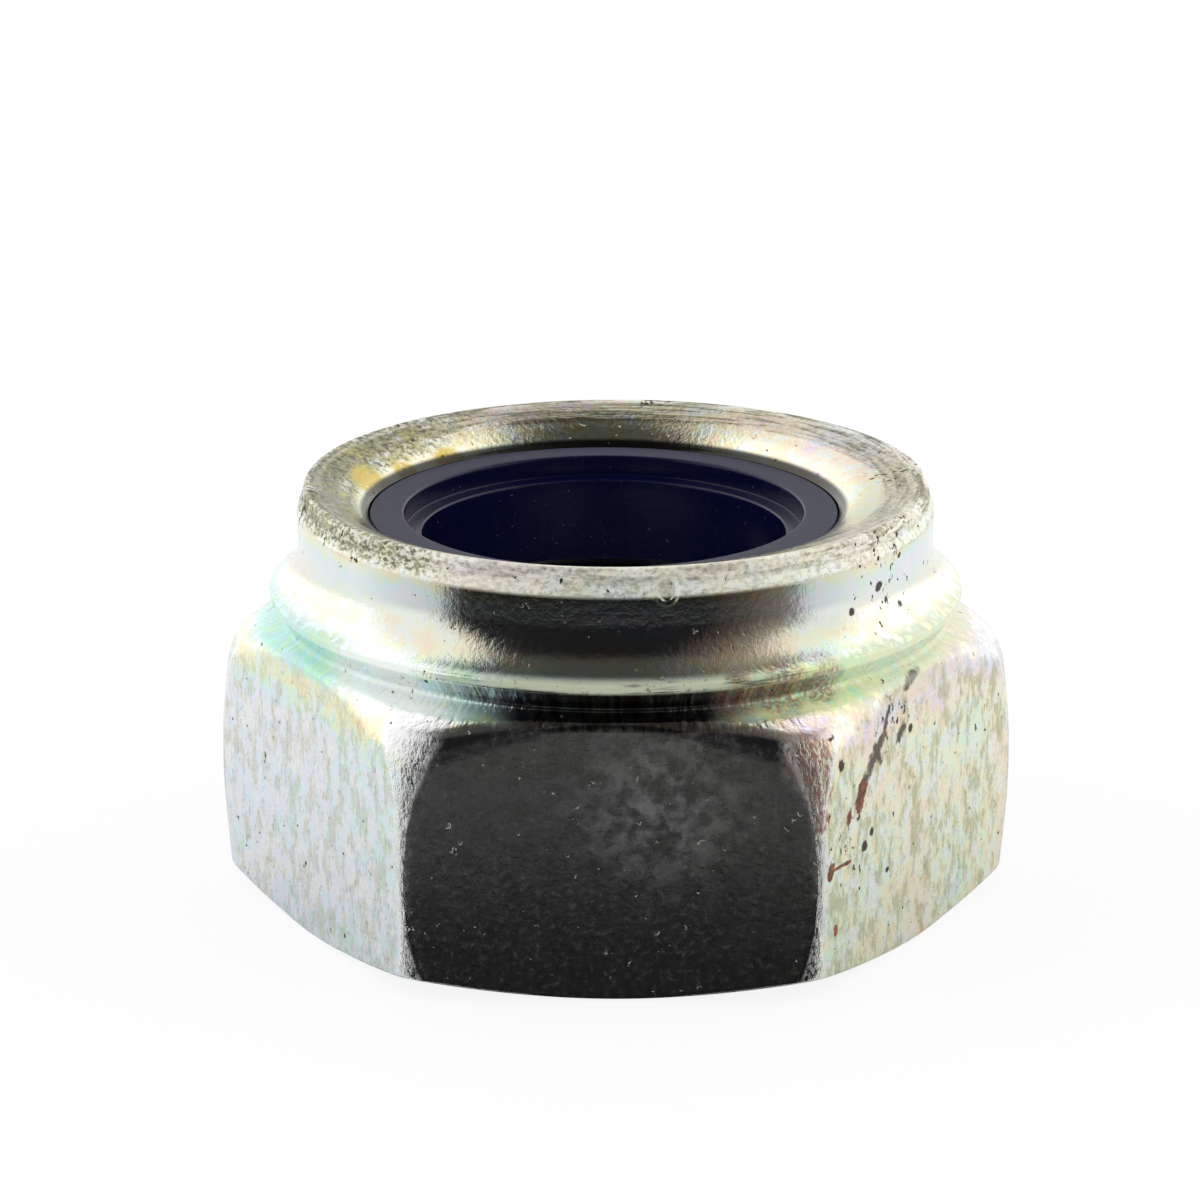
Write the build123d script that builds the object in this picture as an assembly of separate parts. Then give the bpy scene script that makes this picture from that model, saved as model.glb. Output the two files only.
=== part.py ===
from build123d import *
import os
from math import radians, tan

# All lengths are in millimetres, and the angles in degrees.
# The nut stands on its bearing face at the origin, with +Z along the thread.

# Hexagon
across_flats = 13.0
crown_height = 5.12            # base to the top of the arch on each flat
corner_proud = 0.06            # the barrelled corner's control point, outside the sharp corner
corner_height = 2.60           # where the corner edge comes to its sharpest
corner_barrel = 8.0            # radius of that barrel, seen in section
base_trim = 0.146              # taken off the sharp corner where the base chamfer ends
shoulder_trim = 0.20           # taken off the sharp corner at the upper shoulder
shoulder_radius = 0.55
crown_angle = 34.0             # slope of the upper chamfer
base_angle = 20.0              # slope of the base chamfer
base_inset = 0.15              # from the flats in to the edge of the bearing face

# Thread, bored to the minor diameter of the coarse series
thread_diameter = 8.0
thread_pitch = 1.25
minor_depth = 1.0825           # minor diameter below the nominal one, in pitches
countersink_diameter = 8.30
countersink_slope = 30.0
thread_lead = 0.25             # chamfer where the thread runs out into the pocket

# Neck and collar
neck_diameter = 12.28          # where the crown's slope and the skirt's underside meet
neck_radius = 0.24
skirt_diameter = 12.96
skirt_rise = 0.44              # the skirt's underside, from the neck up
skirt_band = 0.13
flare_angle = 30.0             # slope of the flare's foot, where it leaves the skirt's edge
flare_radius = 1.02            # the flare is hollow, from that foot up to the plain wall
collar_diameter = 11.82        # the plain wall under the rim
overall_height = 7.90
rim_diameter = 11.90
rim_drop = 0.47                # the rim's widest line, below the crest
crease_diameter = 11.73
crease_drop = 0.30             # the crease between the rim and the roll, below the crest
crest_diameter = 11.50         # middle of the narrow flat worn along the crest
crest_land = 0.10
crest_radius = 0.22            # outside the crest

# Rolled lip, which hangs from the crest
lip_opening = 8.80
lip_fall_diameter = 10.14      # where the lip starts to fall more steeply
lip_fall_drop = 0.23
lip_tip_drop = 0.53            # the upper edge of the lip's end, below the crest
lip_thickness = 0.37
lip_edge = 0.06                # broken edge at the lip's end

# Pocket under the lip, which holds the insert
pocket_diameter = 10.44
pocket_floor = 5.20

# Nylon insert
insert_clearance = 0.02        # left round the insert, which seats on the pocket's floor
insert_bore = 6.80
insert_mouth = 7.46
insert_recess = 0.05           # the insert's top, below the upper edge of the lip's end
mouth_depth = 0.40             # from that top down to the ledge round the bore
insert_edge = 0.05             # broken edge round the mouth and the ledge
insert_lead = 0.15             # chamfer at the foot of the insert's bore

# The most of a side that one rounding may take
side_share = 0.45              # where the side's other end is rounded too
whole_share = 0.90             # where its other end is sharp


def limited(before, corner, after):
    """A corner's rounding, held to what its two sides can take."""
    r, z, rounding = corner
    sides = [Vector(end_r - r, end_z - z) for end_r, end_z, end_rounding in (before, after)]
    shares = [side_share if end_rounding else whole_share for end_r, end_z, end_rounding in (before, after)]
    turn = 180 - sides[0].get_angle(sides[1])
    room = min(side.length * share for side, share in zip(sides, shares))
    return min(rounding, room / tan(radians(turn / 2)))


def turned(corners):
    """A ring turned about Z from a section's corners, each (radius, height, rounding)."""
    points = [(r, z) for r, z, rounding in corners]
    rounds = [
        limited(corners[i - 1], corner, corners[(i + 1) % len(corners)])
        for i, corner in enumerate(corners)
    ]
    outline = Plane.XZ * FilletPolyline(*points, radius=rounds, close=True)
    return revolve(make_face(outline), Axis.Z)


corner_r = across_flats / 3**0.5
flat_r = across_flats / 2
bearing_r = flat_r - base_inset
base_r = corner_r - base_trim
shoulder_r = corner_r - shoulder_trim
base_height = (base_r - bearing_r) * tan(radians(base_angle))
crown_rise = tan(radians(crown_angle))
shoulder_height = crown_height - (shoulder_r - flat_r) * crown_rise
neck_height = crown_height + (flat_r - neck_diameter / 2) * crown_rise

thread_r = (thread_diameter - minor_depth * thread_pitch) / 2
countersink_r = countersink_diameter / 2
countersink_depth = (countersink_r - thread_r) * tan(radians(countersink_slope))

skirt_r = skirt_diameter / 2
skirt_foot = neck_height + skirt_rise
skirt_top = skirt_foot + skirt_band
collar_r = collar_diameter / 2
flare_rise = (skirt_r - collar_r) * tan(radians(flare_angle))
crest_r = crest_diameter / 2
rim_height = overall_height - rim_drop

pocket_r = pocket_diameter / 2
lip_r = lip_opening / 2
lip_tip_height = overall_height - lip_tip_drop
lip_underside = lip_tip_height - lip_thickness

# One cold-formed piece, as a section from the bearing face round to the bore
nut_section = [
    (countersink_r, 0, 0),
    (bearing_r, 0, 0),
    (base_r, base_height, 0),
    (corner_r + corner_proud, corner_height, corner_barrel),
    (shoulder_r, shoulder_height, shoulder_radius),
    (neck_diameter / 2, neck_height, neck_radius),
    (skirt_r, skirt_foot, 0),
    (skirt_r, skirt_top, 0),
    (collar_r, skirt_top + flare_rise, flare_radius),
    (rim_diameter / 2, rim_height, 0),
    (crease_diameter / 2, overall_height - crease_drop, 0),
    (crest_r + crest_land / 2, overall_height, crest_radius),
    (crest_r - crest_land / 2, overall_height, 0),
    (lip_fall_diameter / 2, overall_height - lip_fall_drop, 0),
    (lip_r + lip_edge, lip_tip_height, 0),
    (lip_r, lip_tip_height - lip_edge, 0),
    (lip_r, lip_underside, 0),
    (pocket_r, lip_underside, 0),
    (pocket_r, pocket_floor, 0),
    (thread_r + thread_lead, pocket_floor, 0),
    (thread_r, pocket_floor - thread_lead, 0),
    (thread_r, countersink_depth, 0),
]

# What the six flats leave outside them, up to the neck
hexagon = RegularPolygon(radius=flat_r, side_count=6, major_radius=False)
outside_flats = extrude(Circle(across_flats) - hexagon, neck_height)
nut_body = turned(nut_section) - outside_flats

# The insert fills the pocket and stands up inside the lip's end
insert_r = pocket_r - insert_clearance
insert_shelf = lip_underside - insert_clearance
insert_collar_r = lip_r - insert_clearance
insert_top = lip_tip_height - insert_recess
ledge_height = insert_top - mouth_depth
mouth_r = insert_mouth / 2
bore_r = insert_bore / 2
insert_section = [
    (bore_r + insert_lead, pocket_floor, 0),
    (insert_r, pocket_floor, 0),
    (insert_r, insert_shelf, 0),
    (insert_collar_r, insert_shelf, 0),
    (insert_collar_r, insert_top, 0),
    (mouth_r + insert_edge, insert_top, 0),
    (mouth_r, insert_top - insert_edge, 0),
    (mouth_r, ledge_height, 0),
    (bore_r + insert_edge, ledge_height, 0),
    (bore_r, ledge_height - insert_edge, 0),
    (bore_r, pocket_floor + insert_lead, 0),
]
nylon_insert = turned(insert_section)

os.makedirs("parts", exist_ok=True)
export_step(nut_body, "parts/nut_body.step")
export_step(nylon_insert, "parts/nylon_insert.step")
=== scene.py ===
import bpy
from functools import reduce
from math import atan2, cos, hypot, pi, radians, sin, tan
from types import SimpleNamespace
import numpy as np
from mathutils import Matrix, Vector


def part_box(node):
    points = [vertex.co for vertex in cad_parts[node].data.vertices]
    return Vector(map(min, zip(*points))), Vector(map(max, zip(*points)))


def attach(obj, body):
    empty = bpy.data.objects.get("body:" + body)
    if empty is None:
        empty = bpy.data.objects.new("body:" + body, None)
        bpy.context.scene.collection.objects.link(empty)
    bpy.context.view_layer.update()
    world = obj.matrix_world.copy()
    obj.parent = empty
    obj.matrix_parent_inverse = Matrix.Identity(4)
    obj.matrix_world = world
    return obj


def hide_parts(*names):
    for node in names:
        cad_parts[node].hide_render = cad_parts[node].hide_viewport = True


# Pieces are drawn in millimetres and made metres when they are finished.
# The nut stands on its bearing face, with one flat towards the camera.

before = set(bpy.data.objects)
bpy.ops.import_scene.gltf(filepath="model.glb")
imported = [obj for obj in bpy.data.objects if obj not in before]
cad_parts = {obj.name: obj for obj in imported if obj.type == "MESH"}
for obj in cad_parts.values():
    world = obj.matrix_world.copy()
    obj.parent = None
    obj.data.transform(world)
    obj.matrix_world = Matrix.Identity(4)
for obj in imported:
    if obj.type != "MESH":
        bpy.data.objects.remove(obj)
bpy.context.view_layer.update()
nutLow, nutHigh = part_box("nut_body")
mm = 0.001
acrossFlats = (nutHigh[1] - nutLow[1]) / mm
nutHeight = nutHigh[2] / mm
print("frame loaded, across flats", round(acrossFlats, 3), "height", round(nutHeight, 3))


# Shared modelling steps
def corner(radius, height, rounding=0.0, steps=1, share=0.48):
    # share is the most of a side that the rounding may take
    return {"r": radius, "z": height, "rounding": rounding, "steps": steps, "share": share}


def roundedPath(corners, closed):
    # each corner becomes an arc of its own rounding, held to what its two sides can take
    points = []
    count = len(corners)
    for index, here in enumerate(corners):
        place = Vector((here["r"], here["z"]))
        isEnd = not closed and index in (0, count - 1)
        if here["rounding"] <= 0 or isEnd:
            points.append(place)
            continue
        before, after = corners[index - 1], corners[(index + 1) % count]
        toBefore = Vector((before["r"], before["z"])) - place
        toAfter = Vector((after["r"], after["z"])) - place
        halfAngle = toBefore.angle(toAfter) / 2
        room = here["share"] * min(toBefore.length, toAfter.length)
        reach = min(here["rounding"] / tan(halfAngle), room)
        start = place + toBefore.normalized() * reach
        end = place + toAfter.normalized() * reach
        for step in range(here["steps"] + 1):
            t = step / here["steps"]
            points.append(start * (1 - t) ** 2 + place * 2 * t * (1 - t) + end * t ** 2)
    return points


def divided(points, longest):
    # long straight stretches get more points, so that the surface can be worked afterwards
    result = [points[0]]
    for start, end in zip(points, points[1:]):
        parts = max(1, int((end - start).length / longest + 0.999))
        result += [start.lerp(end, part / parts) for part in range(1, parts + 1)]
    return result


def lathe(name, points, steps, rise=0.0):
    # a wire is drawn point by point from one vertex, and a Screw modifier turns it about Z
    bpy.ops.object.select_all(action="DESELECT")
    bpy.ops.mesh.primitive_plane_add(size=1)
    piece = bpy.context.object
    piece.name = piece.data.name = name
    bpy.ops.object.mode_set(mode="EDIT")
    bpy.ops.mesh.select_all(action="SELECT")
    bpy.ops.mesh.merge(type="CENTER")
    bpy.ops.transform.translate(value=(points[0].x, 0, points[0].y))
    for start, end in zip(points, points[1:]):
        shift = (end.x - start.x, 0, end.y - start.y)
        bpy.ops.mesh.extrude_vertices_move(TRANSFORM_OT_translate={"value": shift})
    bpy.ops.object.mode_set(mode="OBJECT")
    screw = piece.modifiers.new("turn", "SCREW")
    screw.steps = screw.render_steps = steps
    screw.screw_offset = rise
    screw.use_merge_vertices = rise == 0
    bpy.ops.object.modifier_apply(modifier="turn")
    return piece


def readPoints(piece):
    flat = np.empty(len(piece.data.vertices) * 3)
    piece.data.vertices.foreach_get("co", flat)
    return flat.reshape(-1, 3)


def writePoints(piece, points):
    piece.data.vertices.foreach_set("co", points.ravel())
    piece.data.update()


def mergeClose(piece, distance):
    bpy.ops.object.select_all(action="DESELECT")
    bpy.context.view_layer.objects.active = piece
    piece.select_set(True)
    bpy.ops.object.mode_set(mode="EDIT")
    bpy.ops.mesh.select_all(action="SELECT")
    bpy.ops.mesh.remove_doubles(threshold=distance)
    bpy.ops.mesh.dissolve_degenerate(threshold=distance / 2)
    bpy.ops.mesh.select_all(action="SELECT")
    bpy.ops.mesh.normals_make_consistent(inside=False)
    bpy.ops.object.mode_set(mode="OBJECT")


def finishPiece(piece, node, material, sharpAngle):
    piece.data.transform(Matrix.Scale(mm, 4))
    bpy.ops.object.select_all(action="DESELECT")
    bpy.context.view_layer.objects.active = piece
    piece.select_set(True)
    bpy.ops.object.shade_smooth_by_angle(angle=radians(sharpAngle))
    piece.data.materials.clear()
    piece.data.materials.append(material)
    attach(piece, "root")
    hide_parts(node)


def smooth(low, high, value):
    # 0 at low, 1 at high, eased at both ends
    t = np.clip((value - low) / (high - low), 0, 1)
    return t * t * (3 - 2 * t)


def softMin(a, b, width):
    overlap = np.maximum(width - np.abs(a - b), 0) / width
    return np.minimum(a, b) - overlap * overlap * width / 4


# Shader sums
class Value:
    def __init__(self, graph, socket):
        self.graph = graph
        self.socket = socket

    def maths(self, operation, *operands):
        return self.graph.add("ShaderNodeMath", {"operation": operation}, dict(enumerate(operands)))

    def __add__(self, other):
        return self.maths("ADD", self, other)

    def __sub__(self, other):
        return self.maths("SUBTRACT", self, other)

    def __rsub__(self, other):
        return self.maths("SUBTRACT", other, self)

    def __mul__(self, other):
        return self.maths("MULTIPLY", self, other)

    def __truediv__(self, other):
        return self.maths("DIVIDE", self, other)

    def __pow__(self, other):
        return self.maths("POWER", self, other)

    __radd__ = __add__
    __rmul__ = __mul__

    def __abs__(self):
        return self.maths("ABSOLUTE", self)

    def atLeast(self, other):
        return self.maths("MAXIMUM", self, other)

    def atMost(self, other):
        return self.maths("MINIMUM", self, other)

    def ramp(self, low, high):
        # 0 at low, 1 at high, eased at both ends
        node = {"interpolation_type": "SMOOTHSTEP"}
        ends = {"From Min": min(low, high), "From Max": max(low, high)}
        rising = self.graph.add("ShaderNodeMapRange", node, {"Value": self, **ends})
        return rising if low < high else 1 - rising

    def zone(self, start, full, lastFull=None, end=None):
        # 0 at the start and at the end, 1 between the other two
        rising = self.ramp(start, full)
        return rising if end is None else rising * self.ramp(end, lastFull)


class Graph:
    def __init__(self, name):
        self.material = bpy.data.materials.new(name)
        self.material.use_nodes = True
        self.tree = self.material.node_tree
        self.tree.nodes.clear()

    def add(self, kind, settings, sockets, output=0):
        node = self.tree.nodes.new(kind)
        for key, value in settings.items():
            if key == "stops":
                self.setStops(node.color_ramp, value)
            else:
                setattr(node, key, value)
        for key, value in sockets.items():
            if isinstance(value, Value):
                self.tree.links.new(value.socket, node.inputs[key])
            else:
                node.inputs[key].default_value = value
        # the material's output node has no outputs of its own
        return Value(self, node.outputs[output]) if len(node.outputs) else None

    def setStops(self, ramp, stops):
        while len(ramp.elements) < len(stops):
            ramp.elements.new(1.0)
        for element, (place, colour) in zip(ramp.elements, stops):
            element.position = place
            element.color = (*colour, 1)

    def place(self):
        # the piece's own coordinates, in millimetres
        source = self.add("ShaderNodeTexCoord", {}, {}, output="Object")
        return self.add("ShaderNodeVectorMath", {"operation": "SCALE"}, {0: source, "Scale": 1 / mm})

    def split(self, vector):
        node = self.tree.nodes.new("ShaderNodeSeparateXYZ")
        self.tree.links.new(vector.socket, node.inputs[0])
        return [Value(self, output) for output in node.outputs]

    def join(self, x, y, z):
        return self.add("ShaderNodeCombineXYZ", {}, {0: x, 1: y, 2: z})

    def stretch(self, vector, upward, shift=0.0):
        sockets = {"Vector": vector, "Scale": (1.0, 1.0, upward), "Location": (shift, shift, shift)}
        return self.add("ShaderNodeMapping", {"vector_type": "POINT"}, sockets)

    def noise(self, vector, scale, detail=3.0, rough=0.5, distortion=0.0):
        sockets = {"Vector": vector, "Scale": scale, "Detail": detail, "Roughness": rough,
                   "Distortion": distortion}
        return self.add("ShaderNodeTexNoise", {"noise_dimensions": "3D"}, sockets)

    def cells(self, vector, scale):
        sockets = {"Vector": vector, "Scale": scale, "Randomness": 1.0}
        return self.add("ShaderNodeTexVoronoi", {"feature": "F1"}, sockets)

    def colours(self, value, stops):
        return self.add("ShaderNodeValToRGB", {"stops": stops}, {0: value})

    def mix(self, factor, first, second, mode="MIX"):
        sockets = {0: factor, 6: self.solid(first), 7: self.solid(second)}
        settings = {"data_type": "RGBA", "blend_type": mode, "clamp_factor": True}
        return self.add("ShaderNodeMix", settings, sockets, output=2)

    def solid(self, colour):
        return (*colour, 1) if isinstance(colour, tuple) else colour

    def grey(self, value, stops):
        # a curve through (value, result) pairs
        return self.colours(value, [(place, (result, result, result)) for place, result in stops])

    def distance(self, first, second):
        sockets = {0: first, 1: second}
        return self.add("ShaderNodeVectorMath", {"operation": "DISTANCE"}, sockets, output="Value")

    def nearLine(self, place, start, end, reach):
        # 1 on the line between two points, 0 from its reach on
        line = Vector(end) - Vector(start)
        maths = "ShaderNodeVectorMath"
        away = self.add(maths, {"operation": "SUBTRACT"}, {0: place, 1: start})
        share = {0: away, 1: line / line.length_squared}
        along = self.add(maths, {"operation": "DOT_PRODUCT"}, share, output="Value").atLeast(0.0).atMost(1.0)
        foot = self.add(maths, {"operation": "SCALE"}, {0: line, "Scale": along})
        return self.distance(away, foot).ramp(reach, 0.0)

    def onLines(self, place, lines):
        return reduce(Value.atLeast, [self.nearLine(place, *line) for line in lines])

    def onSpots(self, place, spots):
        # 1 at the middle of a spot, 0 from its reach on
        masks = [self.distance(place, (x, y, z)).ramp(reach, 0.0) for x, y, z, reach in spots]
        return reduce(Value.atLeast, masks)

    def bump(self, height, strength, distance):
        return self.add("ShaderNodeBump", {}, {"Height": height, "Strength": strength, "Distance": distance})

    def surface(self, sockets):
        shader = self.add("ShaderNodeBsdfPrincipled", {}, sockets)
        self.add("ShaderNodeOutputMaterial", {}, {"Surface": shader})
        return self.material


# Plated steel
steelLook = {
    "colours": {
        "zinc": (0.80, 0.81, 0.80),
        "white": (0.98, 0.99, 0.99),
        # painted shadow, for the groove under the skirt
        "hollow": (0.085, 0.045, 0.038),
        "olive": (0.44, 0.44, 0.25),
        "grimeDark": (0.07, 0.07, 0.035),
        "grimeLight": (0.32, 0.31, 0.18),
        "gold": (0.50, 0.36, 0.045),
        "brown": (0.30, 0.14, 0.11),
        "crevice": (0.02, 0.02, 0.02),
        "pit": (0.060, 0.040, 0.028),
        "trail": (0.075, 0.055, 0.038),
        "rustRed": (0.30, 0.10, 0.045),
        "rustDark": (0.10, 0.05, 0.03),
        "bare": (0.95, 0.96, 0.94),
        "skirtEdge": (0.82, 0.90, 0.62),
        "dull": (0.62, 0.64, 0.48),
        "lint": (0.85, 0.86, 0.84),
        "dent": (0.40, 0.38, 0.30),
        "bruise": (0.9, 0.9, 0.86),
        "smoky": (0.10, 0.095, 0.09),
    },
    "heights": {                # millimetres: none and full, then, where it ends again, full and none
        "flats": (5.3, 5.1),
        "corners": (4.95, 4.80),
        "ridges": (0.3, 0.6),
        "dull": (4.7, 5.0, 6.0, 6.2),
        "roll": (7.36, 7.44),
        "skirtEdge": (5.72, 5.84, 5.92, 6.10),
        "rimTop": (7.62, 7.72),
        "rimLeft": (7.40, 7.60),
        "neck": (5.0, 5.2, 5.78, 5.84),
        "hollow": (5.06, 5.12, 5.74, 5.84),
        "crownTop": (5.12, 5.24, 5.40, 5.50),
        "wall": (6.70, 6.90, 7.36, 7.44),
        "crevice": (6.9, 7.0),
        "bruise": (7.72, 7.60),
    },
    "span": 8.0,                # the height that the shares below are shares of
    "film": [                   # the passivation's colours, from thin to thick
        (0.00, (0.80, 0.80, 0.82)), (0.14, (0.70, 0.74, 0.90)), (0.27, (0.60, 0.82, 0.90)),
        (0.40, (0.60, 0.85, 0.66)), (0.53, (0.80, 0.86, 0.54)), (0.66, (0.87, 0.76, 0.44)),
        (0.80, (0.88, 0.66, 0.52)), (0.92, (0.76, 0.66, 0.78)), (1.00, (0.72, 0.74, 0.86)),
    ],
    "glow": [                   # where light goes back and forth between the skirt and the crown
        (0.30, (0.42, 0.80, 0.92)), (0.42, (0.36, 0.86, 0.66)), (0.52, (0.55, 0.90, 0.45)),
        (0.62, (0.82, 0.90, 0.42)), (0.74, (0.92, 0.90, 0.78)),
    ],
    "filmByHeight": [           # share of the height, film
        (0.00, 0.34), (0.50, 0.34), (0.60, 0.76), (0.635, 0.64), (0.66, 0.46), (0.685, 0.26), (0.71, 0.24),
        (0.735, 0.48), (0.755, 0.38), (0.785, 0.62), (0.82, 0.56), (0.88, 0.16), (0.92, 0.52), (0.96, 0.58),
    ],
    "tintByHeight": [           # how much of the film's colour shows
        (0.00, 0.66), (0.52, 0.66), (0.60, 0.85), (0.72, 0.95), (0.78, 0.65), (0.85, 0.30), (0.93, 0.80),
    ],
    "peach": [(3.4, -5.6, 5.1, 1.0), (4.4, 3.2, 7.5, 3.0)],
    "brown": [
        (3.55, -6.35, 4.50, 0.75), (3.72, -6.38, 4.0, 0.55), (3.78, -6.40, 3.4, 0.35),
        # the next three spots, at the neck, are painted shade under the skirt; the three above are stains on
        # the flat
        (2.2, -5.85, 5.62, 0.7), (3.0, -5.5, 5.62, 0.8), (3.7, -5.0, 5.62, 0.7),
    ],
    "pale": [(-3.4, -5.9, 4.9, 1.0), (-4.0, -5.0, 5.45, 0.9)],
    "rimStains": [(0.38, (0.11, 0.13, 0.13)), (0.50, (0.18, 0.20, 0.08)), (0.60, (0.42, 0.42, 0.09))],
    "gold": [(-4.5, 1.2, 7.5, 0.9), (-4.0, 2.3, 7.4, 0.5), (-3.2, 3.2, 7.4, 0.6)],
    "dark": [(-5.45, -1.15, 7.85, 0.50), (-5.25, 1.2, 7.85, 0.50), (-5.5, 0.2, 7.85, 0.3)],
    "trail": [
        ((5.55, -3.35, 5.30), (5.30, -3.75, 5.12), 0.24), ((4.97, -4.40, 4.76), (4.90, -4.52, 4.39), 0.15),
        ((4.90, -4.52, 4.39), (4.63, -4.98, 3.92), 0.28), ((4.63, -4.98, 3.92), (4.48, -5.24, 3.56), 0.26),
        ((5.28, -3.86, 4.33), (5.20, -3.99, 4.20), 0.26), ((4.75, -4.78, 4.25), (4.85, -4.60, 3.95), 0.2),
    ],
    "holes": [
        (4.28, -4.08, 6.59, 0.16), (4.49, -3.85, 6.40, 0.14), (4.79, -3.47, 6.89, 0.18),
        (5.13, -2.93, 6.35, 0.26), (5.32, -2.57, 6.05, 0.22), (4.69, -3.60, 6.04, 0.18),
        (4.40, -5.38, 5.20, 0.18), (4.11, -5.89, 4.28, 0.20), (4.70, -4.87, 2.68, 0.16),
        (5.42, -3.61, 4.23, 0.16), (4.56, -5.10, 2.48, 0.20), (5.01, -4.33, 1.76, 0.12),
    ],
    "cornerReach": [            # share of the height, how far each corner's rounding reaches
        (0.00, 0.43), (0.04, 0.40), (0.062, 0.26), (0.11, 0.15), (0.174, 0.06), (0.25, 0.03), (0.30, 0.035),
        (0.40, 0.11), (0.47, 0.24), (0.53, 0.43), (0.575, 0.60), (0.61, 0.70),
    ],
    "cloud": [(0.9, -6.5, 3.7, 2.2)],
    "bruise": (0.98, -5.82, 7.52),
    "bruiseSquash": 0.75,       # it is a little taller than it is wide
    "rust": [
        ((4.52, -5.17, 3.64), (4.45, -5.28, 3.36), 0.30), ((4.26, -5.62, 3.24), (4.25, -5.64, 3.14), 0.16),
        ((3.95, -6.15, 2.42), (3.92, -6.20, 2.32), 0.20), ((3.96, -6.13, 2.38), (4.30, -5.55, 2.36), 0.07),
        ((4.04, -6.01, 1.24), (4.04, -6.01, 1.16), 0.14),
    ],
    "pitted": [
        (4.9, -3.4, 7.0, 1.7), (5.1, -4.2, 4.6, 1.2), (4.3, -5.6, 2.6, 1.2), (-5.6, -1.0, 7.5, 1.1),
        (5.3, 0.8, 7.7, 1.2), (-4.6, -3.3, 7.3, 0.7), (0.8, 6.0, 7.6, 1.5), (-3.0, 6.2, 3.0, 1.6),
    ],
}


def steelPlaces(g, look, s):
    # masks, each 1 on its own part of the nut
    at = SimpleNamespace(point=g.place())
    at.x, at.y, at.z = x, y, z = g.split(at.point)
    at.radius = radius = ((x * x + y * y) ** 0.5).atLeast(0.1)
    height = {name: z.zone(*ends) for name, ends in look["heights"].items()}
    one, two, three = abs(y), abs(x * cos(pi / 6) + y * 0.5), abs(x * cos(pi / 6) - y * 0.5)
    across = one.atLeast(two).atLeast(three)
    second = one + two + three - across - one.atMost(two).atMost(three)
    toCorner = (across - second) / g.grey(z / look["span"], look["cornerReach"])

    at.onFlat = across.ramp(s["flatHalf"] - 0.08, s["flatHalf"] - 0.02) * height["flats"]
    at.front = y.ramp(-6.25, -6.35)
    at.corner = toCorner.ramp(1.0, 0.7) * height["corners"] * across.ramp(6.0, 6.2)
    at.ridge = at.corner * toCorner.ramp(0.55, 0.85) * height["ridges"]
    at.sides = abs(x).ramp(1.6, 3.2)
    at.dull = (x.ramp(3.4, 4.6) + x.ramp(-4.5, -5.0)).atMost(1.0) * height["dull"]
    at.neck = height["neck"]
    at.hollow = height["hollow"] * y.ramp(-4.5, -5.2)
    at.crownTop = height["crownTop"] * radius.ramp(6.0, 6.1)
    at.skirtEdge = height["skirtEdge"] * radius.ramp(6.24, 6.40)
    at.wall = height["wall"]
    at.roll = height["roll"] * radius.ramp(5.5, 5.7)
    at.rimTop = height["rimTop"] * radius.ramp(4.9, 5.1)
    # the rim's left side, which is darkened by painted shade as well as stains
    at.rimLeft = height["rimLeft"] * radius.ramp(4.3, 4.6) * x.ramp(-2.2, -4.8)
    fromLip = ((x - s["lipShift"]) * (x - s["lipShift"]) + y * y) ** 0.5
    # painted shadow in the gap between the lip's end and the nylon, at the back
    at.crevice = fromLip.ramp(4.60, 4.50) * height["crevice"] * y.ramp(-2.4, -1.0)
    bruiseX, bruiseY, bruiseZ = look["bruise"]
    squash = look["bruiseSquash"]
    fromBruise = g.distance(g.stretch(at.point, squash), (bruiseX, bruiseY, bruiseZ * squash))
    at.bruise = fromBruise.ramp(0.13, 0.17) * fromBruise.ramp(0.25, 0.20) * height["bruise"]
    at.dent = fromBruise.ramp(0.16, 0.12)
    return at


def steelNoises(g, at):
    cosine, sine = at.x / at.radius, at.y / at.radius
    n = SimpleNamespace()
    n.grain = g.noise(at.point, 8.0, detail=3.0, rough=0.65)
    n.mottle = g.noise(at.point, 2.6, detail=3.0, rough=0.6, distortion=0.3)
    n.blotch = g.noise(g.stretch(at.point, 0.7, 5.0), 6.0, detail=3.0, rough=0.55)
    n.patches = g.noise(g.stretch(at.point, 1.0, 4.0), 0.5, detail=2.0, rough=0.5)
    n.upright = g.noise(g.stretch(at.point, 0.5, 2.0), 15.0, detail=3.0, rough=0.6)
    n.stain = g.noise(g.stretch(at.point, 0.5, 12.0), 3.4, detail=4.0, rough=0.72)
    n.coarse = g.noise(g.stretch(at.point, 1.6, 7.0), 8.0, detail=2.5, rough=0.72)
    n.speck = g.noise(g.stretch(at.point, 0.8, 9.0), 5.0, detail=2.5, rough=0.65)
    # rings round the axis, and fine teeth across them
    rings = g.join(cosine * 3.0, sine * 3.0, (at.z + at.radius) * 6.0)
    teeth = g.join(cosine * 70.0, sine * 70.0, (at.z - at.radius) * 2.0)
    n.hoops = g.noise(rings, 1.5, detail=3.0, rough=0.6)
    n.comb = g.noise(teeth, 1.0, detail=1.5)
    return n


def filmed(g, at, n, look):
    # the passivation's film over the zinc
    film = g.grey(at.z / look["span"], look["filmByHeight"]) + at.x * at.onFlat * 0.035
    film = film + (n.patches - 0.5) * 0.8 + (n.mottle - 0.5) * 0.7
    film = film + (n.blotch - 0.5) * (0.3 + at.onFlat * 0.5)
    film = film + g.onSpots(at.point, look["peach"]) * 0.25 + at.rimTop * 0.10
    film = film + at.x * (1 - at.onFlat) * at.z.ramp(6.2, 6.0) * 0.03
    tint = g.grey(at.z / look["span"], look["tintByHeight"]) * n.mottle.ramp(0.28, 0.58)
    tint = tint * (1 - at.front * 0.9) * (1 - at.ridge)
    tint = tint * (1 - g.onSpots(at.point, look["pale"]).ramp(0.0, 0.5))
    return g.mix(tint, look["colours"]["zinc"], g.colours(film, look["film"]))


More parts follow.
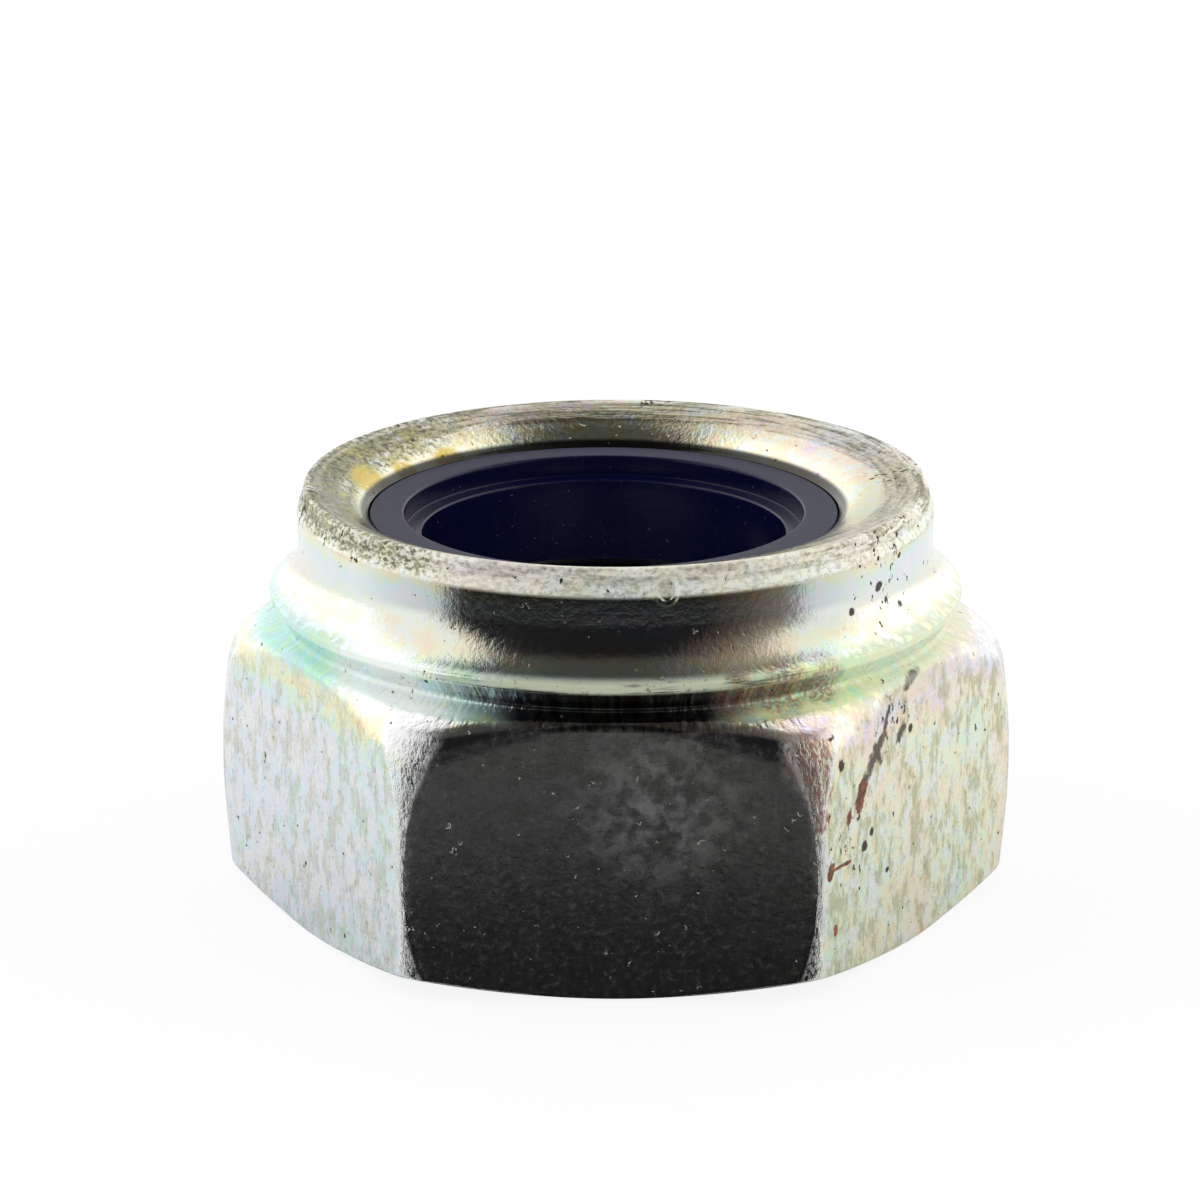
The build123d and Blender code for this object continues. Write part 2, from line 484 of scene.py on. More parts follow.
def addGlowAndNeckShadow(g, at, n, look, colour):
    # painted light between the skirt and the crown: a bright reflection painted at the sides, and painted
    # shadow in the groove under the skirt at the front
    streaks = n.mottle * 0.6 + n.comb * 0.4 + at.x * 0.02
    whiter = at.x.ramp(-2.2, -3.2) * at.x.ramp(-5.4, -4.8) * 0.8
    glowing = g.mix(whiter, g.colours(streaks, look["glow"]), look["colours"]["white"])
    glow = at.skirtEdge * 0.8 + at.crownTop + at.neck * at.x.ramp(-4.4, -5.2)
    glow = glow * at.sides * (1 - at.x.ramp(4.4, 5.2) * 0.5)
    colour = g.mix(glow * 0.85, colour, glowing)
    # painted shadow: the groove under the skirt is coloured dark at the front, where it lies in shade
    aside = abs(at.x) - at.z.ramp(5.36, 5.46) * 1.4 - at.x * 0.10
    hollow = at.hollow * aside.ramp(2.5, 1.2) * (0.55 + n.comb.ramp(0.62, 0.40) * 0.45)
    return g.mix(hollow * 0.85, colour, look["colours"]["hollow"])


def addDirt(g, at, n, look, colour):
    # olive stains, grime in scores and on the roll, painted shade darkening the rim's left side, gold
    # patches, brown stains with painted shade under the skirt, and painted shade in the gap under the lip at
    # the back
    paint = look["colours"]
    rim = (at.rimTop + at.roll).atMost(1.0)
    # painted shade: the rim's left side is darkened, together with its stains
    dirtAndShade = rim * (0.24 - at.y.ramp(1.0, 4.5) * 0.14 + at.x.ramp(2.0, 5.0) * 0.2) + at.rimLeft * 1.2
    olive = n.stain.ramp(0.46, 0.62) * at.onFlat * (0.42 + at.x.ramp(1.0, 5.0) * 0.30) * (1 - at.front * 0.9)
    olive = olive + dirtAndShade * (0.35 + n.mottle.ramp(0.38, 0.62) * 0.6)
    stained = g.mix(at.rimLeft, paint["olive"], g.colours(n.mottle, look["rimStains"]))
    colour = g.mix(olive.atMost(0.9), colour, stained)

    dashes = n.upright.ramp(0.54, 0.66) * n.stain.ramp(0.36, 0.52) * (1 - at.front * 0.8)
    rings = n.hoops.ramp(0.46, 0.60) * (at.rimTop * 0.65 + at.roll * 0.25)
    rings = rings * (at.y.ramp(-6.5, 1.0) * 0.75 + 0.25)
    scoredAndShaded = dashes * at.onFlat * 0.34 + rings + n.coarse.ramp(0.42, 0.62) * dirtAndShade * 1.15
    scoredAndShaded = scoredAndShaded + g.onSpots(at.point, look["dark"]).ramp(0.1, 0.5)
    scoredAndShaded = scoredAndShaded + at.front * n.mottle.ramp(0.60, 0.34) * 0.22
    gold = g.onSpots(at.point, look["gold"]).ramp(0.1, 0.6) * n.grain.ramp(0.28, 0.46)
    at.grime = scoredAndShaded.atMost(0.9) * (1 - gold * 0.7)
    grimy = g.mix(n.grain.ramp(0.38, 0.60), paint["grimeDark"], paint["grimeLight"])
    colour = g.mix(at.grime, colour, grimy)
    colour = g.mix(gold * 0.9, colour, paint["gold"])
    # brown stains on the flat, and painted shade in the groove under the skirt
    at.brown = g.onSpots(at.point, look["brown"]).ramp(0.05, 0.50) * n.upright.ramp(0.35, 0.60)
    colour = g.mix(at.brown * 0.85, colour, paint["brown"])
    # painted shadow in the gap under the lip
    return g.mix(at.crevice * 0.95, colour, paint["crevice"])


def addRust(g, at, n, look, colour):
    # pits, the dark trail and the rust in it
    paint = look["colours"]
    closeness = g.onSpots(at.point, look["pitted"])
    pits = (n.speck + closeness * 0.13 + at.roll * 0.02).ramp(0.690, 0.735) * (1 - at.front * 0.7)
    at.pits = pits.atLeast((g.onSpots(at.point, look["holes"]) + (n.grain - 0.5) * 0.9).ramp(0.30, 0.60))
    colour = g.mix(at.pits * 0.93, colour, paint["pit"])
    ragged = (n.grain - 0.5) * 0.8 + (n.speck - 0.5) * 0.8
    trail = (g.onLines(at.point, look["trail"]) + ragged * 1.4).ramp(0.34, 0.90)
    colour = g.mix(trail * 0.95, colour, paint["trail"])
    at.rust = (g.onLines(at.point, look["rust"]) + ragged).ramp(0.36, 0.56)
    return g.mix(at.rust, colour, g.mix(n.grain.ramp(0.40, 0.62), paint["rustRed"], paint["rustDark"]))


def addWear(g, at, n, look, colour):
    # bare edges, with a painted highlight along the corner ridges and the skirt's edge, dull places, lint
    # and dust, the bruise on the rim with a painted highlight on its raised edge and painted shade in its
    # dent, and painted shade on the wall's front
    paint = look["colours"]
    wornAndSheen = at.skirtEdge * n.hoops.ramp(0.34, 0.52)
    edges = (wornAndSheen + at.roll * 0.85) * n.grain.ramp(0.20, 0.42) * 0.95
    flecks = n.upright.ramp(0.44, 0.54) * (1 - at.brown)
    bare = (at.ridge * 0.2 + at.corner * flecks * 0.35 + edges).atMost(1.0)
    at.bare = bare * (1 - at.pits) * (1 - at.grime * at.roll)
    # painted highlight: the corner ridges are coloured near white as if catching the light, over the bare
    # worn edges
    colour = g.mix((at.bare * (1 - at.skirtEdge) * 0.6 + at.ridge * 0.5).atMost(1.0), colour, paint["bare"])
    # the skirt's edge is worn, and coloured pale at the front as a painted highlight
    colour = g.mix(wornAndSheen * (1 - at.sides) * 0.75, colour, paint["skirtEdge"])
    at.dulled = at.dull * n.blotch.ramp(0.30, 0.60) * 0.8
    colour = g.mix(at.dulled * 0.5, colour, paint["dull"])
    lint = g.cells(g.stretch(at.point, 0.7, 3.0), 3.0).ramp(0.09, 0.04) * n.grain.ramp(0.50, 0.60)
    cloud = g.onSpots(at.point, look["cloud"]) * n.mottle.ramp(0.38, 0.66) * 0.10
    at.dust = (cloud + n.grain.ramp(0.52, 0.72) * 0.04 + lint * 0.35) * at.onFlat
    colour = g.mix(lint * at.onFlat * 0.5, colour, paint["lint"])
    # painted shade inside the bruise's dent, and a painted highlight on its raised edge
    colour = g.mix(at.dent * 0.4, colour, paint["dent"])
    colour = g.mix(at.bruise * 0.6, colour, paint["bruise"])
    # painted shade on the wall's front, under the overhang of the roll
    return g.mix(at.wall * at.y.ramp(-3.5, -5.2) * 0.35, colour, paint["smoky"])


def platedSteel(look, s):
    g = Graph("zinc plate")
    at = steelPlaces(g, look, s)
    n = steelNoises(g, at)
    colour = filmed(g, at, n, look)
    for layer in (addGlowAndNeckShadow, addDirt, addRust, addWear):
        colour = layer(g, at, n, look, colour)

    rollFront = at.roll * at.y.ramp(-3.0, -5.0)
    metallic = 1 - at.bare * (0.6 + rollFront * 0.35) - at.crownTop * at.sides * 0.8 - at.dust - at.dulled
    metallic = (metallic - at.pits * 0.15 - at.rust * 0.9 - at.brown * 0.25).atLeast(0.0)
    rough = 0.14 + (n.grain - 0.4) * 0.22 + at.onFlat * 0.13 + at.roll * 0.25 + at.rust * 0.5 + at.pits * 0.4
    height = n.grain * (0.36 + at.onFlat * 0.20 - at.wall * 0.10) + n.comb * at.neck * 0.8
    height = height + n.upright * (at.onFlat * 0.35 + at.corner * 1.1)
    height = height + n.hoops * (at.rimTop + at.roll) * 0.7 - n.speck.ramp(0.69, 0.74) * 1.2
    height = height + at.bruise * 1.5 - at.dent
    normal = g.bump(height, 1.0, 0.02 * mm)
    return g.surface({"Base Color": colour, "Metallic": metallic, "Roughness": rough, "Normal": normal})


# Nut body
nutSizes = {
    "flatHalf": acrossFlats / 2,
    "neckHeight": 5.383,
    "crownFall": (0.32, 0.154), # fall of the crown per mm out from the neck, and per mm squared
    "baseSlope": 20.0,
    "bearingInset": 0.15,
    "baseTrim": 0.146,          # taken off the sharp corner where the base chamfer ends
    "shoulderTrim": 0.146,
    "cornerProud": 0.06,
    "cornerHeight": 2.60,
    "cornerWidths": (0.03, 0.80, 0.50),     # rounding of the upright corners: middle, top, base
    "cornerSpan": (1.9, 2.2, 4.8),          # heights between which they are sharpest, and their top
    "bandDrops": (0.14, 0.42),  # height of the band over each flat: mid-arch, its haunches
    "bandLean": 0.32,
    "bandEase": 0.16,           # height in which that lean sets in
    "edgeWidths": (0.10, 0.24),     # rounding between that band and the cone: at its ends, between
    "shoulderWidth": 0.24,
    "rowReach": 7.32,           # rows follow a flat's edge out to this radius
    "neckRadius": 6.14,
    "skirtRadius": 6.48,
    "skirtRise": 0.42,
    "skirtBand": 0.13,
    "collarRadius": 5.91,
    "flareSlope": 30.0,         # the flare's foot, above the level
    "flareRounding": 1.02,
    "rimRadius": 5.95,
    "rimDrop": 0.47,            # the top of the plain wall, below the crest
    "shoulderRadius": 5.88,
    "shoulderDrop": 0.325,
    "creaseRadius": 5.865,
    "creaseDrop": 0.30,
    "rollRadius": 5.86,
    "rollDrop": 0.22,
    "crestOuter": 5.80,
    "crestInner": 5.70,
    "fallRadius": 5.14,
    "fallDrop": 0.16,
    "bendRadius": 4.76,
    "bendDrop": 0.33,
    "lipRadius": 4.40,
    "lipDrop": 0.53,
    "lipThickness": 0.37,
    "lipShift": -0.22,          # the crimped lip's end lies off the axis
    "pocketRadius": 5.22,
    "pocketFloor": 5.20,
    "leadRadius": 3.5734,
    "rows": {"base": 14, "flat": 46, "crown": 18},
    "columns": 372,
    "crowding": 0.6,            # columns stand closer together at the corners
}
threadSizes = {
    "pitch": 1.25,
    "minor": 3.3234,
    "major": 4.0,
    "mouth": 4.15,
    "mouthSlope": 30.0,
    "crestShare": 0.25,         # of the pitch
    "rootShare": 0.125,
    "softEdge": 0.025,
    "runOut": 0.6,
}


def crownAt(s, radius):
    # height of the crown
    fall, growth = s["crownFall"]
    out = radius - s["neckRadius"]
    return s["neckHeight"] - fall * out - growth * out ** 2


def crownRadius(s, z):
    fall, growth = s["crownFall"]
    under = np.maximum(fall ** 2 + 4 * growth * (s["neckHeight"] - z), 0)
    return s["neckRadius"] + (np.sqrt(under) - fall) / (2 * growth)


def outerPath(s, withCrown):
    cornerRadius = 2 * s["flatHalf"] / 3 ** 0.5
    bearing = s["flatHalf"] - s["bearingInset"]
    base = cornerRadius - s["baseTrim"]
    shoulder = cornerRadius - s["shoulderTrim"]
    start = s["neckRadius"] + 0.35
    shoulderPoint = Vector((shoulder, crownAt(s, shoulder)))
    widest = Vector((cornerRadius + s["cornerProud"], s["cornerHeight"]))
    path = [
        corner(bearing, 0.0),
        corner(base, (base - bearing) * tan(radians(s["baseSlope"])), 0.12, 6, 0.05),
        corner(*widest, 8.5, 24, 0.9),
    ]
    if withCrown:
        path.append(corner(*shoulderPoint, 0.25, 8, 0.3))
        path += [corner(r, crownAt(s, r)) for r in np.linspace(shoulder - 0.2, start, 10)]
    else:
        path.append(corner(*shoulderPoint))
        path.append(corner(*(shoulderPoint * 1.5 - widest * 0.5)))
    return roundedPath(path, closed=False)


def upperPath(s):
    skirtFoot = s["neckHeight"] + s["skirtRise"]
    skirtTop = skirtFoot + s["skirtBand"]
    flareTop = skirtTop + (s["skirtRadius"] - s["collarRadius"]) * tan(radians(s["flareSlope"]))
    lipTop = nutHeight - s["lipDrop"]
    under = lipTop - s["lipThickness"]
    start = s["neckRadius"] + 0.35
    return divided(roundedPath([
        corner(start, crownAt(s, start)),
        corner(s["neckRadius"], s["neckHeight"], 0.45, 10),
        corner(s["skirtRadius"], skirtFoot, 0.07, 4),
        corner(s["skirtRadius"], skirtTop, 0.07, 4),
        corner(s["collarRadius"], flareTop, s["flareRounding"], 18, 0.92),
        corner(s["rimRadius"], nutHeight - s["rimDrop"], 0.16, 6),
        corner(s["shoulderRadius"], nutHeight - s["shoulderDrop"], 0.02, 3),
        corner(s["creaseRadius"], nutHeight - s["creaseDrop"], 0.02, 3),
        corner(s["rollRadius"], nutHeight - s["rollDrop"], 0.10, 5),
        corner(s["crestOuter"], nutHeight, 0.22, 8),
        corner(s["crestInner"], nutHeight + 0.004, 0.9, 6, 0.45),
        corner(s["fallRadius"], nutHeight - s["fallDrop"], 2.0, 8),
        corner(s["bendRadius"], nutHeight - s["bendDrop"], 2.0, 6),
        corner(s["lipRadius"] + 0.06, lipTop, 0.07, 4),
        corner(s["lipRadius"], lipTop - 0.06, 0.05, 3),
        corner(s["lipRadius"], under, 0.05, 3),
        corner(s["pocketRadius"], under, 0.1, 3),
        corner(s["pocketRadius"], s["pocketFloor"], 0.1, 3),
        corner(s["leadRadius"], s["pocketFloor"]),
    ], closed=False), 0.14)


def rowShares(rows):
    # where the rows of each part lie, from 0 to 1, closer together beside the flat's edges
    base, flat, crown = (np.linspace(0, 1, rows[part] + 1) for part in ("base", "flat", "crown"))
    return 1 - (1 - base) ** 1.6, 0.5 * flat + 0.25 - 0.25 * np.cos(pi * flat), crown ** 1.6


def crowdCorners(points, s):
    # columns are turned towards the nearest corner; returns how far each point was turned
    theta = np.arctan2(points[..., 1], points[..., 0])
    radius = np.hypot(points[..., 0], points[..., 1])
    turned = s["crowding"] / 6 * np.sin(6 * (theta - pi / 6))
    points[..., 0] = radius * np.cos(theta - turned)
    points[..., 1] = radius * np.sin(theta - turned)
    return -turned


def cornerRounding(s, z):
    middle, top, base = s["cornerWidths"]
    lowEnd, highStart, highEnd = s["cornerSpan"]
    high = np.maximum(z - highStart, 0) / (highEnd - highStart)
    low = np.maximum(lowEnd - z, 0) / lowEnd
    return middle + top * high ** 2.2 + base * low ** 2


def bandInset(s, z, near, off):
    # how far the band over a flat's arch leans in
    lowDrop, highDrop = s["bandDrops"]
    ease = s["bandEase"]
    drop = lowDrop + (highDrop - lowDrop) * smooth(radians(3), radians(24), off)
    over = np.maximum(z - crownAt(s, min(near, s["rowReach"])) + drop, 0)
    return s["bandLean"] * np.where(over < ease, over ** 2 / (2 * ease), over - ease / 2)


def edgeRounding(s, off):
    narrow, wide = s["edgeWidths"]
    between = smooth(radians(3), radians(12), off) * smooth(radians(28), radians(18), off)
    return narrow + (wide - narrow) * between


def pressFlats(points, outline, barrel, s):
    # each column's rows are slid along the turned outline so that one row follows each edge of the
    # flat, and the flat, the band over it and the cone are then pressed in
    sampleCount = 2000
    outlineR, outlineZ = np.array(outline).T
    barrelR, barrelZ = np.array(barrel).T
    lengths = np.concatenate([[0], np.cumsum(np.hypot(np.diff(outlineR), np.diff(outlineZ)))])
    along = np.linspace(0, lengths[-1], sampleCount)
    sampleR = np.interp(along, lengths, outlineR)
    widest = int(np.argmax(sampleR))
    total = sum(s["rows"].values()) + 1
    baseShare, flatShare, crownShare = rowShares(s["rows"])
    for column in range(s["columns"]):
        theta = atan2(points[column, 0, 1], points[column, 0, 0])
        off = abs(theta % (pi / 3) - pi / 6)
        near, beside = s["flatHalf"] / cos(off), s["flatHalf"] / cos(pi / 3 - off)
        edge = float(softMin(np.array(near), np.array(s["rowReach"]), 0.3))
        first = along[np.nonzero(sampleR[:widest] < edge)[0][-1]]
        second = along[widest + np.nonzero(sampleR[widest:] < edge)[0][0]]
        places = np.concatenate([
            baseShare * first,
            (first + (second - first) * flatShare)[1:],
            (second + (along[-1] - second) * crownShare)[1:],
        ])
        z = points[column, :, 2]
        z[:total] = np.interp(places, lengths, outlineZ)
        isHexagon = z < s["neckHeight"]
        z = z[isHexagon]
        r = np.hypot(points[column, isHexagon, 0], points[column, isHexagon, 1])
        cone = crownRadius(s, z)
        cone[total:] = r[total:]
        outer = np.interp(z, barrelZ, barrelR)
        flat = softMin(np.full(len(z), near), np.full(len(z), beside), cornerRounding(s, z))
        band = flat - bandInset(s, z, near, off)
        pressed = softMin(softMin(band, cone, edgeRounding(s, off)), outer, s["shoulderWidth"])
        fade = smooth(0.0, 0.12, z)
        r = pressed * fade + np.minimum(outer, flat) * (1 - fade)
        points[column, isHexagon, 0] = r * cos(theta)
        points[column, isHexagon, 1] = r * sin(theta)


def threadPoints(t, s):
    # rows of one comb of teeth, which the Screw modifier raises by one pitch in a turn
    pitch = t["pitch"]
    crest, root = t["crestShare"] * pitch, t["rootShare"] * pitch
    flank = (pitch - crest - root) / 2
    soft = t["softEdge"]
    tooth = [
        (t["minor"], 0.0), (t["minor"], crest),
        (t["minor"] + soft, crest + soft * 0.6), (t["major"] - soft, crest + flank - soft * 0.6),
        (t["major"], crest + flank), (t["major"], crest + flank + root),
        (t["major"] - soft, crest + flank + root + soft * 0.6),
        (t["minor"] + soft, pitch - soft * 0.6),
    ]
    turns = int(s["pocketFloor"] / pitch) + 3
    return [Vector((r, (turn - 1) * pitch + height)) for turn in range(turns) for r, height in tooth]


def cutThread(t, s):
    comb = threadPoints(t, s)
    piece = lathe("thread", comb, s["columns"], rise=t["pitch"])
    points = readPoints(piece)
    points[:, 2] += crowdCorners(points, s) * t["pitch"] / (2 * pi)
    theta = np.arctan2(points[:, 1], points[:, 0])
    r = np.hypot(points[:, 0], points[:, 1])
    z = np.clip(points[:, 2], 0, s["pocketFloor"])
    depth = (r - t["minor"]) * smooth(0, t["runOut"], s["pocketFloor"] - 0.3 - z)
    mouth = t["mouth"] - z / tan(radians(t["mouthSlope"]))
    lead = s["leadRadius"] - (s["pocketFloor"] - z)
    r = np.maximum(np.maximum(t["minor"] + depth, mouth), lead)
    writePoints(piece, np.stack([r * np.cos(theta), r * np.sin(theta), z], axis=1))
    mergeClose(piece, 0.002)
    print("thread cut,", len(piece.data.polygons), "faces")
    return piece


def makeNut(s, t, material):
    outline = outerPath(s, True)
    rowCount = sum(s["rows"].values())
    lower = [outline[0].lerp(outline[-1], row / rowCount) for row in range(rowCount)]
    piece = lathe("hex_nut", lower + upperPath(s), s["columns"])
    grid = readPoints(piece).reshape(s["columns"], -1, 3)
    crowdCorners(grid, s)
    pressFlats(grid, outline, outerPath(s, False), s)
    writePoints(piece, grid)
    closeBearing(piece, s, t)
    thread = cutThread(t, s)
    bpy.ops.object.select_all(action="DESELECT")
    thread.select_set(True)
    piece.select_set(True)
    bpy.context.view_layer.objects.active = piece
    bpy.ops.object.join()
    mergeClose(piece, 0.002)
    points = readPoints(piece)
    slideLip(points, s)
    writePoints(piece, points)
    finishPiece(piece, "nut_body", material, 50)
    print("nut made,", len(piece.data.polygons), "faces")


def closeBearing(piece, s, t):
    # the bearing face runs in from the base's edge to the countersink's mouth
    bpy.ops.object.select_all(action="DESELECT")
    bpy.context.view_layer.objects.active = piece
    piece.select_set(True)
    bearing = s["flatHalf"] - s["bearingInset"]
    for vertex in piece.data.vertices:
        vertex.select = abs(vertex.co.z) < 1e-4 and abs(hypot(vertex.co.x, vertex.co.y) - bearing) < 1e-3
    bpy.ops.object.mode_set(mode="EDIT")
    bpy.ops.mesh.select_mode(type="EDGE")
    steps = 6
    for step in range(steps):
        here = bearing + (t["mouth"] - bearing) * step / steps
        there = bearing + (t["mouth"] - bearing) * (step + 1) / steps
        bpy.ops.mesh.extrude_region_move()
        bpy.ops.transform.resize(value=(there / here, there / here, 1), center_override=(0, 0, 0))
    bpy.ops.mesh.select_mode(type="VERT")
    bpy.ops.object.mode_set(mode="OBJECT")


def slideLip(points, s):
    r = np.hypot(points[:, 0], points[:, 1])
    share = smooth(s["crestInner"] + 0.1, s["lipRadius"] + 0.1, r) * (points[:, 2] > s["pocketFloor"] + 1)
    points[:, 0] += s["lipShift"] * share


# Nylon insert
insertSizes = {
    "outer": 5.20,
    "collar": 4.38,
    "mouth": 3.73,
    "bore": 3.40,
    "recess": 0.05,
    "clearance": 0.02,          # under the lip
    "mouthDepth": 0.40,
    "lead": 0.15,
    "columns": 288,
}


def nylon(shift):
    g = Graph("navy nylon")
    place = g.place()
    x, y, z = g.split(place)
    radius = ((x - shift) * (x - shift) + y * y) ** 0.5
    # painted light and shade: the top face is coloured lighter as it is lit, the bore almost black as it
    # lies in shade
    top = radius.ramp(3.74, 3.80) * z.ramp(6.9, 7.2)
    grain = g.noise(place, 9.0, detail=4.0, rough=0.65)
    specks = g.noise(place, 14.0, detail=2.0).ramp(0.72, 0.76)
    colour = g.mix(top, (0.0007, 0.0020, 0.028), (0.019, 0.020, 0.052))
    colour = g.mix(specks * 0.35, colour, (0.35, 0.33, 0.38))
    rough = 0.22 + top * 0.28 + grain * 0.08
    normal = g.bump(grain, 0.18, 0.03 * mm)
    return g.surface({"Base Color": colour, "Roughness": rough, "Specular IOR Level": 0.3, "Normal": normal})


def insertPath(i, s):
    top = nutHeight - s["lipDrop"] - i["recess"]
    shelf = nutHeight - s["lipDrop"] - s["lipThickness"] - i["clearance"]
    ledge = top - i["mouthDepth"]
    corners = [
        corner(i["bore"] + i["lead"], s["pocketFloor"]),
        corner(i["outer"], s["pocketFloor"], 0.06, 3),
        corner(i["outer"], shelf, 0.06, 3),
        corner(i["collar"], shelf, 0.02, 2),
        corner(i["collar"], top, 0.06, 4),
        corner(i["mouth"], top, 0.07, 4),
        corner(i["mouth"], ledge, 0.03, 3),
        corner(i["bore"], ledge, 0.05, 4),
        corner(i["bore"], s["pocketFloor"] + i["lead"], 0.05, 3),
    ]
    path = roundedPath(corners, closed=True)
    return divided(path + [path[0]], 0.25)


def makeInsert(i, s, material):
    piece = lathe("nylon_ring", insertPath(i, s), i["columns"])
    mergeClose(piece, 0.002)
    points = readPoints(piece)
    r = np.hypot(points[:, 0], points[:, 1])
    points[:, 0] += s["lipShift"] * (1 - smooth(i["collar"], i["outer"], r))
    writePoints(piece, points)
    finishPiece(piece, "nylon_insert", material, 45)
    print("insert made,", len(piece.data.polygons), "faces")


# Stage, lamps and camera
stageSizes = {"floor": 0.8, "floorColour": (0.93, 0.93, 0.93), "shadowShare": 0.12}
darkSizes = {
    "reach": 90.0,              # radius of the room that shows in the metal
    "tableNear": (3.7, -6.37),  # the dark part of the table starts along the front flat
    "tableFan": (-64.0, 72.0),  # degrees round from straight in front, at its far edge
    "leftEdge": (-0.77, -0.90), # sine of the turn to the left, where dark has become white
    "rightStops": [             # sine of the turn to the right, light added to the dark
        (0.50, (0.0, 0.0, 0.0)), (0.69, (0.085, 0.062, 0.05)), (0.87, (0.26, 0.22, 0.19)),
        (0.97, (0.95, 0.93, 0.90)),
    ],
    "ceiling": ((0.011, 0.011, 0.013), (0.055, 0.055, 0.052)),
    "walls": ((0.85, 0.85, 0.83), (1.45, 1.45, 1.45)),
    "tableSpan": 40.0,          # millimetres from the axis that the stops below are shares of
    "tableStops": [             # the nut's own shadow, the grey table, the dark room's end
        (0.16, (0.012, 0.012, 0.012)), (0.25, (0.012, 0.012, 0.012)), (0.33, (0.018, 0.018, 0.018)),
        (0.40, (0.050, 0.050, 0.049)), (0.45, (0.130, 0.130, 0.126)), (0.51, (0.155, 0.155, 0.150)),
        (0.58, (0.020, 0.020, 0.021)), (0.64, (0.011, 0.011, 0.013)),
    ],
}
cameraSizes = {
    "lens": 158.93,
    "target": Vector((0, 0, 0.0039)),
    "distance": 0.1001,
    "elevation": 18.0,
    "turn": 0.8,
    "aimUp": 0.898,             # the nut sits below the picture's middle
    "aimLeft": 0.168,
}


def makeFloor(s):
    # white, and it keeps part of the nut's shadow
    bpy.ops.object.select_all(action="DESELECT")
    bpy.ops.mesh.primitive_plane_add(size=s["floor"])
    floor = bpy.context.object
    floor.name = "floor"
    g = Graph("white table")
    lit = g.add("ShaderNodeBsdfDiffuse", {}, {"Color": (*s["floorColour"], 1)})
    plain = g.add("ShaderNodeEmission", {}, {"Color": (1, 1, 1, 1), "Strength": 1.0})
    seen = g.add("ShaderNodeLightPath", {}, {}, output="Is Camera Ray")
    both = g.add("ShaderNodeMixShader", {}, {0: seen * (1 - s["shadowShare"]), 1: lit, 2: plain})
    g.add("ShaderNodeOutputMaterial", {}, {"Surface": both})
    floor.data.materials.append(g.material)


def showOnlyInMetal(card, shade):
    g = Graph(card.name)
    shader = g.add("ShaderNodeEmission", {}, {"Color": shade(g), "Strength": 1.0})
    g.add("ShaderNodeOutputMaterial", {}, {"Surface": shader})
    card.data.materials.append(g.material)
    card.visible_camera = False
    card.visible_diffuse = False
    card.visible_transmission = False
    card.visible_shadow = False


def lighterRight(g, d, dark, turn):
    return g.mix(1.0, dark, g.colours(turn, d["rightStops"]), "ADD")


def makeRoom(d):
    # the room that the metal mirrors: dark in front and overhead, white at the sides and behind
    bpy.ops.object.select_all(action="DESELECT")
    bpy.ops.mesh.primitive_uv_sphere_add(segments=96, ring_count=48, radius=d["reach"] * mm)
    room = bpy.context.object
    room.name = "mirrored_room"
    bpy.ops.object.mode_set(mode="EDIT")
    bpy.ops.mesh.select_all(action="SELECT")
    bpy.ops.mesh.bisect(plane_co=(0, 0, 0), plane_no=(0, 0, 1), clear_inner=True)
    bpy.ops.object.mode_set(mode="OBJECT")

    def shade(g):
        x, y, z = g.split(g.place())
        side, back, up = x / d["reach"], y / d["reach"], z / d["reach"]
        aside = abs(side)
        ceiling = g.mix(up.ramp(0.55, 0.80), *d["ceiling"])
        dark = g.mix(side.ramp(0.0, 0.2), ceiling, lighterRight(g, d, ceiling, side + up * 0.4))
        leftOf = side - up * side.ramp(0.0, -0.3) * 0.4
        dark = g.mix(leftOf.ramp(*d["leftEdge"]), dark, (1.0, 1.0, 1.0))
        behind = (back + aside.atMost(0.3) * 1.6 + (aside - 0.3).atLeast(0.0) * 0.3).ramp(0.56, 0.88)
        return g.mix(behind, dark, g.mix(aside.ramp(0.05, 0.35), *d["walls"]))

    showOnlyInMetal(room, shade)


def makeDarkTable(d):
    # a fan in front of the nut, seen only in the metal
    rows, columns = 12, 48
    bpy.ops.object.select_all(action="DESELECT")
    bpy.ops.mesh.primitive_grid_add(x_subdivisions=columns, y_subdivisions=rows, size=1)
    table = bpy.context.object
    table.name = "mirrored_table"
    points = readPoints(table) + 0.5
    across, along = points[:, 0], points[:, 1] ** 2
    left, right = d["tableFan"]
    turn = np.radians(left + (right - left) * across)
    nearX, nearY = (2 * across - 1) * d["tableNear"][0], d["tableNear"][1]
    points[:, 0] = nearX + (d["reach"] * np.sin(turn) - nearX) * along
    points[:, 1] = nearY + (-d["reach"] * np.cos(turn) - nearY) * along
    points[:, 2] = 0.02
    writePoints(table, points * mm)

    def shade(g):
        x, y, z = g.split(g.place())
        away = (x * x + y * y) ** 0.5
        side = x / away
        front = g.colours(away / d["tableSpan"], d["tableStops"])
        far = away.ramp(12.0, 18.0)
        dark = g.mix(far, front, lighterRight(g, d, front, side))
        return g.mix(side.ramp(*d["leftEdge"]) * far, dark, (0.93, 0.93, 0.93))

    showOnlyInMetal(table, shade)


def makeLamp(name, place, size, power):
    # aimed at the middle of the nut
    bpy.ops.object.select_all(action="DESELECT")
    bpy.ops.object.light_add(type="AREA", location=place)
    lamp = bpy.context.object
    lamp.name = name
    lamp.data.shape = "RECTANGLE"
    lamp.data.size = lamp.data.size_y = size
    lamp.data.energy = power
    lamp.rotation_euler = (Vector((0, 0, 0.004)) - Vector(place)).to_track_quat("-Z", "Y").to_euler()


